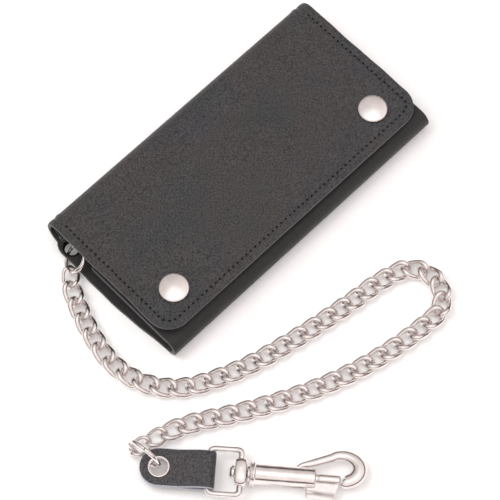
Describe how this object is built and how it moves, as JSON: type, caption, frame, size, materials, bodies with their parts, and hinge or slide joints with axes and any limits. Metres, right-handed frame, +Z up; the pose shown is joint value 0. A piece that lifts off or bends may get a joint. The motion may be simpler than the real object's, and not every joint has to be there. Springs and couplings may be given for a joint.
{
  "type": "chain wallet",
  "caption": "Long leather snap wallet with a curb chain, rings, leather tab and swivel bolt snap.",
  "frame": {"origin": "middle of the closed wallet's footprint, on its flat underside", "axes": "+X along the wallet's length, +Y from the lower fold to the spine, +Z up through the closed flap"},
  "size_m": [0.2351, 0.1991, 0.0212],
  "materials": {
    "outer_leather": "matt oiled grain leather",
    "lining_leather": "matt thin leather",
    "thread": "waxed thread",
    "nickel": "bright nickel plate",
    "spring_steel": "drawn wire"
  },
  "bodies": {
    "base": {"back_panel": "outer_leather", "bill_panel": "lining_leather", "card_pocket_1": "lining_leather", "card_pocket_2": "lining_leather", "card_pocket_3": "lining_leather", "back_stitching": "thread", "wallet_eyelet": "nickel", "wallet_eyelet_washer": "nickel", "spine_fold": "outer_leather", "spine_lining": "lining_leather", "lower_fold": "outer_leather"},
    "flap": {"flap_panel": "outer_leather", "flap_lining": "lining_leather", "flap_stitching": "thread", "snap_cap_left": "nickel", "snap_cap_right": "nickel", "snap_socket_left": "nickel", "snap_socket_right": "nickel"},
    "pouch": {"pouch_panel": "outer_leather", "pouch_lining": "lining_leather", "pouch_stitching": "thread", "snap_stud_left": "nickel", "snap_stud_right": "nickel", "snap_post_left": "nickel", "snap_post_right": "nickel"},
    "wallet_ring": {"wallet_ring": "nickel"},
    "chain_01": {"chain_01": "nickel"},
    "chain_02": {"chain_02": "nickel"},
    "chain_03": {"chain_03": "nickel"},
    "chain_04": {"chain_04": "nickel"},
    "chain_05": {"chain_05": "nickel"},
    "chain_06": {"chain_06": "nickel"},
    "chain_07": {"chain_07": "nickel"},
    "chain_08": {"chain_08": "nickel"},
    "chain_09": {"chain_09": "nickel"},
    "chain_10": {"chain_10": "nickel"},
    "chain_11": {"chain_11": "nickel"},
    "chain_12": {"chain_12": "nickel"},
    "tab_ring": {"tab_ring": "nickel"},
    "tab": {"leather_tab": "outer_leather", "tab_eyelet": "nickel", "tab_eyelet_washer": "nickel"},
    "strap_loop": {"strap_loop": "nickel"},
    "bolt_snap": {"snap_body": "nickel", "snap_hook": "nickel", "swivel_rivet": "nickel", "bolt_spring": "spring_steel"},
    "bolt": {"slide_bolt": "nickel", "thumb_lever": "nickel"}
  },
  "joints": [
    {"name": "flap_hinge", "type": "hinge", "parent": "base", "child": "flap", "pos_m": [0, 0.046, 0.0109], "axis": [-1, 0, 0], "range_deg": [0, 178], "deforming": ["spine_fold", "spine_lining"]},
    {"name": "pouch_hinge", "type": "hinge", "parent": "base", "child": "pouch", "pos_m": [0, -0.046, 0.0063], "axis": [1, 0, 0], "range_deg": [0, 24], "deforming": ["lower_fold"]},
    {"name": "ring_swing", "type": "hinge", "parent": "base", "child": "wallet_ring", "pos_m": [-0.087, 0.0305, 0.0043], "axis": [0, 0, 1], "range_deg": [-25, 2]},
    {"name": "chain_01_lift", "type": "hinge", "parent": "wallet_ring", "child": "chain_01", "pos_m": [-0.0945, 0.0235, 0.003], "axis": [-0.7314, 0.682, 0], "range_deg": [0, 15]},
    {"name": "chain_02_swing", "type": "hinge", "parent": "chain_01", "child": "chain_02", "pos_m": [-0.11016, -0.00746, 0.003], "axis": [0, 0, 1], "range_deg": [-12, 8]},
    {"name": "chain_03_lift", "type": "hinge", "parent": "chain_02", "child": "chain_03", "pos_m": [-0.11108, -0.04201, 0.003], "axis": [-0.9367, -0.3502, 0], "range_deg": [0, 15]},
    {"name": "chain_04_swing", "type": "hinge", "parent": "chain_03", "child": "chain_04", "pos_m": [-0.08708, -0.06643, 0.003], "axis": [0, 0, -1], "range_deg": [-12, 3]},
    {"name": "chain_05_lift", "type": "hinge", "parent": "chain_04", "child": "chain_05", "pos_m": [-0.05383, -0.07772, 0.003], "axis": [-0.225, -0.9744, 0], "range_deg": [0, 15]},
    {"name": "chain_06_swing", "type": "hinge", "parent": "chain_05", "child": "chain_06", "pos_m": [-0.01928, -0.08443, 0.003], "axis": [0, 0, 1], "range_deg": [-3, 12]},
    {"name": "chain_07_lift", "type": "hinge", "parent": "chain_06", "child": "chain_07", "pos_m": [0.0155, -0.08971, 0.003], "axis": [-0.2546, -0.967, 0], "range_deg": [0, 15]},
    {"name": "chain_08_swing", "type": "hinge", "parent": "chain_07", "child": "chain_08", "pos_m": [0.02656, -0.11576, 0.003], "axis": [0, 0, -1], "range_deg": [-12, 2]},
    {"name": "chain_09_lift", "type": "hinge", "parent": "chain_08", "child": "chain_09", "pos_m": [-0.00731, -0.11793, 0.003], "axis": [0.1521, 0.9884, 0], "range_deg": [0, 15]},
    {"name": "chain_10_swing", "type": "hinge", "parent": "chain_09", "child": "chain_10", "pos_m": [-0.04146, -0.10957, 0.003], "axis": [0, 0, 1], "range_deg": [-4, 12]},
    {"name": "chain_11_lift", "type": "hinge", "parent": "chain_10", "child": "chain_11", "pos_m": [-0.07371, -0.09555, 0.003], "axis": [0.4579, 0.889, 0], "range_deg": [0, 15]},
    {"name": "chain_12_swing", "type": "hinge", "parent": "chain_11", "child": "chain_12", "pos_m": [-0.1041, -0.07783, 0.003], "axis": [0, 0, -1], "range_deg": [-12, 12]},
    {"name": "tab_ring_swing", "type": "hinge", "parent": "chain_12", "child": "tab_ring", "pos_m": [-0.13614, -0.06706, 0.0033], "axis": [0, 0, 1], "range_deg": [-15, 7]},
    {"name": "tab_swing", "type": "hinge", "parent": "tab_ring", "child": "tab", "pos_m": [-0.1341, -0.0816, 0.0058], "axis": [0, 0, 1], "range_deg": [-15, 15]},
    {"name": "strap_loop_tilt", "type": "hinge", "parent": "tab", "child": "strap_loop", "pos_m": [-0.11846, -0.09928, 0.0065], "axis": [-0.749, -0.6626, 0], "range_deg": [0, 95]},
    {"name": "swivel", "type": "hinge", "parent": "strap_loop", "child": "bolt_snap", "pos_m": [-0.10826, -0.11081, 0.0065], "axis": [0.6621, -0.7484, -0.0384], "continuous": true},
    {"name": "bolt_slide", "type": "slide", "parent": "bolt_snap", "child": "bolt", "axis": [-0.6621, 0.7484, 0.0384], "range_m": [0, 0.008], "stiffness_N_per_m": 300, "springref_m": -0.006, "deforming": ["bolt_spring"]}
  ],
  "couplings": [
    {"joint": "pouch_hinge", "follows": "flap_hinge", "ratio": 0.13}
  ]
}
